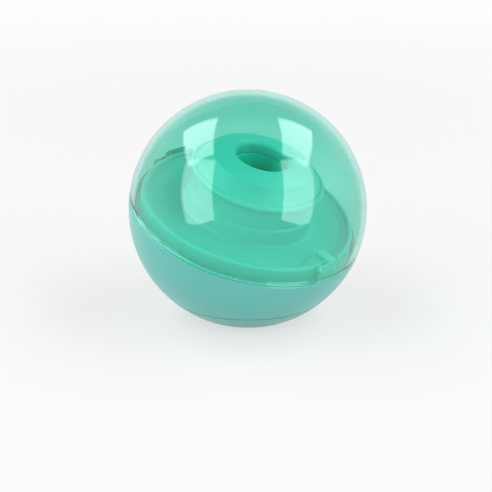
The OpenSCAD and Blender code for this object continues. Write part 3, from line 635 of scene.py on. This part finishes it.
def lid():
    """Clear upper part of the ball on an edge band of darker mint, which is painted seam shade,
    with reliefs for the base's knuckles.
    """
    top = LID_LOW + LID_EDGE_H
    (in_low, out_low), (in_top, out_top) = [
        (sqrt(LID_IN_R ** 2 - h ** 2), sqrt(BALL_R ** 2 - h ** 2)) for h in (LID_LOW, top)]
    edge = revolve("lid_edge", rounded([
        (in_low, LID_LOW, LID_EDGE_ROUND_IN), (out_low, LID_LOW, LID_EDGE_ROUND_OUT),
        (out_top, top), (in_top, top)]))
    inner, outer = [skin_arc(r, top + HAIRLINE, r, SKIN_STEPS) for r in (LID_IN_R, BALL_R)]
    shell = revolve("lid_clear", [*inner[::-1], *outer])
    half = BASE_KNUCKLE_W / 2 + KNUCKLE_GAP
    for piece, finish in ((edge, "mint_seam_shade"), (shell, "mint_clear")):
        for side in (-1, 1):
            middle = side * (KNUCKLE_REACH - BASE_KNUCKLE_W / 2)
            cut(piece, rod("relief", KNUCKLE_R + KNUCKLE_GAP, middle - half, middle + half,
                           HINGE_Y, SEAM_H))
        cut(piece, rod("bore", PIN_R + BORE_PLAY, -LID_KNUCKLE_W, LID_KNUCKLE_W, HINGE_Y, SEAM_H))
        dress(piece, finish, "lid", "lid_shell")


def lid_lugs():
    """Inside the lid's front: lugs that hold the snap tab and the rib that presses the switch."""
    fittings = block("lid_lugs", (-PRESSER_W / 2, -LID_IN_R - PAST / 2, PRESSER_LOW),
                     (PRESSER_W / 2, PLUNGER_Y + PRESSER_W / 2, PRESSER_LOW + PRESSER_T),
                     PRESSER_ROUND)
    for side in (-1, 1):
        left, right = on_side(side, TAB_W / 2 + LUG_GAP, TAB_W / 2 + LUG_GAP + LUG_T)
        join(fittings, rod("lug", LUG_R, left, right, -TAB_MID_R, TAB_PIVOT_Z, SNUG),
             block("web", (left, -LID_IN_R - PAST, TAB_PIVOT_Z - LUG_R),
                   (right, -TAB_MID_R, TAB_PIVOT_Z + LUG_R), SNUG))
        ends = on_side(side, TAB_W / 2, TAB_REACH + SOCKET_END)
        cut(fittings, rod("socket", TAB_PIN_R + BORE_PLAY, *ends, -TAB_MID_R, TAB_PIVOT_Z))
    rooted = LID_IN_R + ROOT
    inside = revolve("inside", skin_arc(rooted, -rooted, rooted, INSIDE_STEPS))
    combine(fittings, "INTERSECT", [inside])
    dress(fittings, "mint_clear_tab", "lid", "lid_shell")


def lid_knuckle():
    """Lid's hinge barrel and the web that carries it, standing on the skin."""
    half = LID_KNUCKLE_W / 2
    far = SEAM_H + ARM_H
    outline = [(HINGE_Y + KNUCKLE_R, SEAM_H), (HINGE_Y - ARM_LEAN, far),
               (HINGE_Y - KNUCKLE_R, far), (HINGE_Y - KNUCKLE_R, SEAM_H)]
    web = prism("web", outline, -half + ARM_INSET, half - ARM_INSET, SEAM @ ALONG_X, SNUG)
    knuckle = rod("lid_knuckle", KNUCKLE_R, -half, half, HINGE_Y, SEAM_H, SOFT)
    skin = BALL_R - ROOT
    inside = revolve("inside", [(0, LID_LOW), *skin_arc(skin, LID_LOW, skin, SKIN_CUT_STEPS)])
    cut(join(knuckle, web), inside,
        rod("bore", PIN_R + BORE_PLAY, -half - PAST, half + PAST, HINGE_Y, SEAM_H))
    dress(knuckle, "mint_clear_web", "lid", "lid_shell")


def latch_tab():
    """Snap tab with its rounded head and the two pivots that sit in the lid's lugs."""
    tab = block("latch_tab_clear", (-TAB_W / 2, -TAB_IN_R - TAB_T, LID_LOW + TAB_UP),
                (TAB_W / 2, -TAB_IN_R, TAB_PIVOT_Z), SNUG)
    join(tab, rod("head", TAB_T / 2, -TAB_W / 2, TAB_W / 2, -TAB_MID_R, TAB_PIVOT_Z, FINE),
         rod("pivot", TAB_PIN_R, -TAB_REACH, TAB_REACH, -TAB_MID_R, TAB_PIVOT_Z, TAB_PIN_ROUND))
    dress(tab, "mint_clear_tab", "latch", "latch_tab")


# --- deck, cap and what stands in them -----------------------------------------------------------

def arch_lift(r, z, angle):
    """Rise of the upstand's top where the arch passes over the switch plunger."""
    across = r * cos(angle)
    if z < DISH_H + DISH_DEPTH / 2 or r < RIM_FOOT_R or sin(angle) > 0:
        return 0
    if abs(across) > ARCH_SPREAD:
        return 0
    rise = ARCH_RISE * (1 + cos(pi * across / ARCH_SPREAD)) / 2
    return rise * min(1, (z - DISH_H) / DISH_DEPTH)


def deck_section():
    """Half section of the deck: up over the upstand, across the dish, and back underneath."""
    upstand = [(FLANGE_R, LEDGE_H, THIN), (FLANGE_R, FLANGE_TOP, THIN), (RIM_R, FLANGE_TOP, THIN),
               (RIM_R, RIM_TOP, RIM_ROUND_OUT), (RIM_IN_R, RIM_TOP, RIM_ROUND_IN),
               (RIM_FOOT_R, DISH_H + RIM_FOOT_H, SOFT)]
    dish = [(DISH_R, DISH_H, DISH_ROUND), (TOWER_R + FOOT_FLARE, DISH_H, FOOT_ROUND)]
    tower = [(TOWER_R + STEP_OUT, STEP_H, TOWER_ROUND), (TOWER_R, STEP_H + STEP_UP, SOFT),
             (TOWER_R - TOWER_DRAFT, TOWER_TOP, TOWER_ROUND), (TOWER_IN_R, TOWER_TOP, THIN),
             (TOWER_IN_R, HANG_H), (SKIRT_IN_R, HANG_H, THIN)]
    skirt = [(SKIRT_IN_R, -SKIRT_DROP, SOFT), (SKIRT_IN_R + DECK_WALL, -SKIRT_DROP, SOFT),
             (TOWER_IN_R + SKIRT_FLARE, UNDER_H, SKIRT_ROUND)]
    underside = [(RIM_IN_R - UNDER_SLOPE, UNDER_H, SOFT), (RIM_FOOT_R, LEDGE_H)]
    return rounded([*upstand, *dish, *tower, *skirt, *underside])


def deck():
    """Dished deck with flange, upstand, arch, stepped tower and skirt."""
    body = revolve("deck_moulded", deck_section(), lift=arch_lift)
    crown = arc((0, ARCH_TOP - ARCH_R), ARCH_R, ARCH_END, 180 - ARCH_END, ARCH_STEPS)
    foot = UNDER_H + PAST
    boss = prism("boss", [(crown[-1][0], foot), (crown[0][0], foot), *crown],
                 DISH_R, RIM_R - DECK_WALL / 2, SEAM @ ALONG_FRONT, ARCH_ROUND)
    join(body, boss)
    for side in (-1, 1):
        left, right = on_side(side, POCKET_HALF, POCKET_HALF + RIB_T)
        join(body, block("rib", (left, SWITCH_FRONT + RIB_INSET, SWITCH_TOP - SWITCH_H),
                         (right, SWITCH_BACK, UNDER_H + RIB_ROOT)))
    catch_r = RIM_R + CATCH_OUT
    catch = revolve("catch", rounded([
        (RIM_IN_R, CATCH_H - CATCH_HALF), (catch_r, CATCH_H - CATCH_HALF, FINE),
        (catch_r, CATCH_H + CATCH_HALF, FINE), (RIM_IN_R, CATCH_H + CATCH_HALF)], steps=3))
    combine(catch, "INTERSECT", [block("span", (CATCH_INSET - TAB_W / 2, -BALL_R, CATCH_H - PAST),
                                       (TAB_W / 2 - CATCH_INSET, 0, CATCH_H + PAST))])
    join(body, catch)
    hole_r = PLUNGER_R + PLUNGER_PLAY
    hole = revolve("hole", [(0, UNDER_H - PAST), (hole_r, UNDER_H - PAST),
                            (hole_r, ARCH_TOP + PAST), (0, ARCH_TOP + PAST)],
                   SEAM @ Matrix.Translation((0, PLUNGER_Y, 0)), SMALL_STEPS)
    cut(body, hole, block("pocket", (-POCKET_HALF, SWITCH_FRONT - SWITCH_PLAY, -BALL_R),
                          (POCKET_HALF, SWITCH_BACK, UNDER_H)))
    dress(body, "mint_gloss", "base", "deck")


def dome_h(r):
    """Height of the cap's dome at the radius r."""
    return BEAD_TOP + DOME_RISE * sqrt(1 - (r / DOME_R) ** DOME_POWER)


def tower_cap():
    """Cap on the tower: rounded bead, hollow flank, dome inside a soft ridge, lip and sleeve."""
    bead = arc((DOME_R, BEAD_LOW + BEAD_H / 2), BEAD_H / 2, -90, BEAD_END, BEAD_STEPS)
    foot = (bead[-1][0] - FLANK_IN, BEAD_TOP + FLANK_UP)
    ridge = (RIDGE_R, dome_h(RIDGE_R))
    flank = [(foot[0] + (ridge[0] - foot[0]) * t,
              foot[1] + (ridge[1] - foot[1]) * t - FLANK_HOLLOW * sin(pi * t))
             for t in spread(0, 1, CURVE_STEPS)[:-1]]
    dome = [(r, dome_h(r)) for r in spread(RIDGE_R, HOLE_R + LIP_R, DOME_STEPS)[1:]]
    lip = arc((HOLE_R + LIP_R, dome[-1][1] - LIP_R), LIP_R, 90, 180, CURVE_STEPS)[1:]
    inner_r = SPIGOT_R - CAP_WALL
    under = [(r, dome_h(r * DOME_R / (DOME_R - CAP_WALL)) - CAP_WALL)
             for r in spread(SLEEVE_R, inner_r, CURVE_STEPS)]
    loop = rounded([*bead, *flank, (*ridge, RIDGE_ROUND), *dome, *lip,
                    (HOLE_R, SLEEVE_LOW, SOFT), (SLEEVE_R, SLEEVE_LOW, SOFT), *under,
                    (inner_r, SPIGOT_LOW, THIN), (SPIGOT_R, SPIGOT_LOW, THIN),
                    (SPIGOT_R, BEAD_LOW)])
    dress(revolve("tower_cap_moulded", loop), "mint_gloss", "base", "tower_cap")


def teat_guard():
    """Guard round the teat: closed collar under the cap, then a ring of windows to the lamp."""
    inner, outer = GUARD_R - GUARD_WALL, GUARD_R + GUARD_FLANGE
    mouth_r = HOLE_R - MOUTH_INSET
    flange_low, floor_h = GUARD_TOP - GUARD_WALL, GUARD_LOW + GUARD_WALL
    body = revolve("teat_guard_moulded", rounded([
        (0, GUARD_LOW), (GUARD_R, GUARD_LOW, GUARD_ROUND), (GUARD_R, flange_low, SOFT),
        (outer, flange_low, SOFT), (outer, GUARD_TOP, SOFT), (mouth_r, GUARD_TOP, THIN),
        (mouth_r, flange_low, MOUTH_ROUND), (inner, GUARD_TOP - GUARD_COLLAR / 2, FUNNEL_ROUND),
        (inner, floor_h, GUARD_ROUND), (0, floor_h)]), steps=ROUND_STEPS // 2)
    half, low, high = WINDOW_W / 2, GUARD_LOW + GUARD_FOOT, GUARD_TOP - GUARD_COLLAR
    corners = ((-half, low), (half, low), (half, high), (-half, high))
    outline = rounded([(*corner, WINDOW_ROUND) for corner in corners], steps=5)
    for k in range(WINDOWS):
        turn = SEAM @ Matrix.Rotation(2 * pi * (k + 0.5) / WINDOWS, 4, "Z") @ ALONG_X
        cut(body, prism("window", outline, inner - 2 * PAST, GUARD_R + PAST, turn))
    # The guard's more saturated green is painted shade for the hole that it lines
    dress(body, "mint_hole_shade", "base", "teat_guard")


def plunger():
    """Lid switch's plunger, domed where the lid's rib meets it."""
    low, collar_low = SWITCH_TOP - PLUNGER_SUNK, COLLAR_TOP - COLLAR
    collar_r = PLUNGER_R + COLLAR
    loop = rounded([(0, low), (PLUNGER_R, low, THIN), (PLUNGER_R, collar_low),
                    (collar_r, collar_low, FINE), (collar_r, COLLAR_TOP, FINE),
                    (PLUNGER_R, COLLAR_TOP), (PLUNGER_R, PLUNGER_TOP, PLUNGER_ROUND),
                    (0, PLUNGER_TOP)])
    pin = revolve("plunger_domed", loop, SEAM @ Matrix.Translation((0, PLUNGER_Y, 0)), SMALL_STEPS)
    dress(pin, "mint_gloss", "plunger", "switch_plunger")


def hinge_pin():
    """Pin through all the knuckles, with rounded ends."""
    reach = KNUCKLE_REACH - PIN_INSET
    pin = rod("hinge_pin_domed", PIN_R, -reach, reach, HINGE_Y, SEAM_H, PIN_ROUND)
    dress(pin, "screw_steel", "base", "hinge_pin")


def foot_pad():
    """Non-slip pad with round edges and grip grooves underneath."""
    profile = ((-GROOVE_MOUTH, 0), (-GROOVE_ROOF, GROOVE_DEPTH),
               (GROOVE_ROOF, GROOVE_DEPTH), (GROOVE_MOUTH, 0))
    grooves = [(middle + off, height, THIN) for middle in GROOVES for off, height in profile]
    loop = rounded([(0, 0), *grooves, (PAD_R, 0, PAD_ROUND), (PAD_R, PAD_T, THIN), (0, PAD_T)],
                   steps=4)
    dress(revolve("foot_pad_grooved", loop, UPRIGHT), "pad_rubber", "cover", "foot_pad")


for node, cad in frame["nodes"].items():
    dress(cad, SLOTS[node])
lid()
lid_lugs()
lid_knuckle()
latch_tab()
deck()
tower_cap()
teat_guard()
plunger()
hinge_pin()
foot_pad()


# --- stage, lamps, camera, in metres -----------------------------------------------------------

CENTRE = Vector((0, 0, BALL_Z)) * MM
EYE = CENTRE + Vector((-0.3397, -0.3387, 0.1527))
VIEW_PITCH = 19.3
SENSOR = 36.0
FOCAL_PX = 1300
PHOTO_W = 492

# Rays that see the white of the floor and the background as it is
SEEN = ("Is Camera Ray", "Is Glossy Ray", "Is Transmission Ray")

# Floor: half its width in millimetres, its grey under the lamps, and the share of plain white
# near the object, which grows to 1 between two distances from it
FLOOR_HALF = 4000
FLOOR_GREY = 0.75
WHITE_SHARE = 0.6
WHITE_FROM = 0.05
WHITE_TO = 0.9

# World: its fill for rays that don't see it, and the strength that it dims to between two
# heights of a direction, from 0 at the horizon to 1 overhead
FILL = 0.62
ZENITH = 0.12
DIM_FROM = 0.3
DIM_TO = 0.85

# Lamps: how far they stand, the directions that the right bank runs through, and the width and
# the watts for each square metre of its low and its high lamp
LAMP_AWAY = 1.0
BANK_FOOT = (-0.03, -1.0, 0.0)
BANK_BEND = (0.31, -0.58, 0.755)
BANK_TOP = (0.68, 0.03, 0.73)
LOW_LAMP = (0.55, 9.5)
HIGH_LAMP = (0.42, 12)


def camera():
    """Camera at the front left, which looks down along the diagonal between x and y."""
    data = bpy.data.cameras.new("camera")
    data.sensor_width = SENSOR
    data.lens = FOCAL_PX / PHOTO_W * SENSOR
    cam = bpy.data.objects.new("camera", data)
    bpy.context.scene.collection.objects.link(cam)
    cam.location = EYE
    flat = cos(radians(VIEW_PITCH)) * sqrt(0.5)
    ahead = Vector((flat, flat, -sin(radians(VIEW_PITCH))))
    cam.rotation_euler = ahead.to_track_quat("-Z", "Y").to_euler()
    bpy.context.scene.camera = cam


def floor():
    """White floor that keeps the object's shadow, and that a look from below doesn't meet."""
    mat, tree = empty_material("floor")
    out = add(tree, "OutputMaterial")
    matt = add(tree, "BsdfDiffuse", {"Color": (FLOOR_GREY, FLOOR_GREY, FLOOR_GREY, 1)})
    away = add(tree, "VectorMath")
    away.operation = "LENGTH"
    tree.links.new(add(tree, "TexCoord").outputs["Object"], away.inputs[0])
    white = ranged(tree, away.outputs["Value"], WHITE_SHARE, 1, WHITE_FROM, WHITE_TO)
    white.node.interpolation_type = "SMOOTHSTEP"
    share = maths(tree, "MULTIPLY", any_of(tree, *SEEN), white)
    lit = mixed(tree, share, matt.outputs[0], add(tree, "Emission").outputs[0])
    under = add(tree, "NewGeometry").outputs["Backfacing"]
    shown = mixed(tree, under, lit, add(tree, "BsdfTransparent").outputs[0])
    tree.links.new(shown, out.inputs["Surface"])
    corners = [(-FLOOR_HALF, -FLOOR_HALF, 0), (FLOOR_HALF, -FLOOR_HALF, 0),
               (FLOOR_HALF, FLOOR_HALF, 0), (-FLOOR_HALF, FLOOR_HALF, 0)]
    obj = make("floor", corners, [(0, 1, 2, 3)])
    obj.data.materials.append(mat)


def world():
    """White to look at and in reflections, and a soft fill for all else."""
    env = bpy.data.worlds.new("studio")
    bpy.context.scene.world = env
    env.use_nodes = True
    tree = env.node_tree
    tree.nodes.clear()
    out = add(tree, "OutputWorld")
    back = add(tree, "Background", {"Color": (1, 1, 1, 1)})
    level = ranged(tree, any_of(tree, *SEEN), FILL, 1, 0, 1)
    height = add(tree, "SeparateXYZ")
    tree.links.new(add(tree, "TexCoord").outputs["Generated"], height.inputs["Vector"])
    dim = ranged(tree, height.outputs["Z"], 1, ZENITH, DIM_FROM, DIM_TO)
    tree.links.new(maths(tree, "MULTIPLY", level, dim), back.inputs["Strength"])
    tree.links.new(back.outputs[0], out.inputs["Surface"])


def softbox(name, start, end, width, watts):
    """Long soft lamp that faces the object and spans two directions, seen from the object."""
    start, end = Vector(start).normalized(), Vector(end).normalized()
    along = (end - start).normalized()
    out = (start + end).normalized()
    length = 2 * LAMP_AWAY * tan(start.angle(end) / 2)
    data = bpy.data.lights.new(name, "AREA")
    data.shape = "RECTANGLE"
    data.size = width
    data.size_y = length
    data.energy = watts * width * length
    lamp = bpy.data.objects.new(name, data)
    bpy.context.scene.collection.objects.link(lamp)
    lamp.matrix_world = (Matrix.Translation(CENTRE + out * LAMP_AWAY)
                         @ Matrix((along.cross(out), along, out)).transposed().to_4x4())
    lamp.visible_camera = False


def softboxes():
    """A tall bank on each side of the view, up from the floor and over the object."""
    for name, turn in (("right", lambda v: v), ("left", lambda v: (v[1], v[0], v[2]))):
        foot, bend, top = turn(BANK_FOOT), turn(BANK_BEND), turn(BANK_TOP)
        softbox(name + "_low", foot, bend, *LOW_LAMP)
        softbox(name + "_high", bend, top, *HIGH_LAMP)


camera()
floor()
world()
softboxes()
bpy.context.scene.view_settings.view_transform = "Standard"
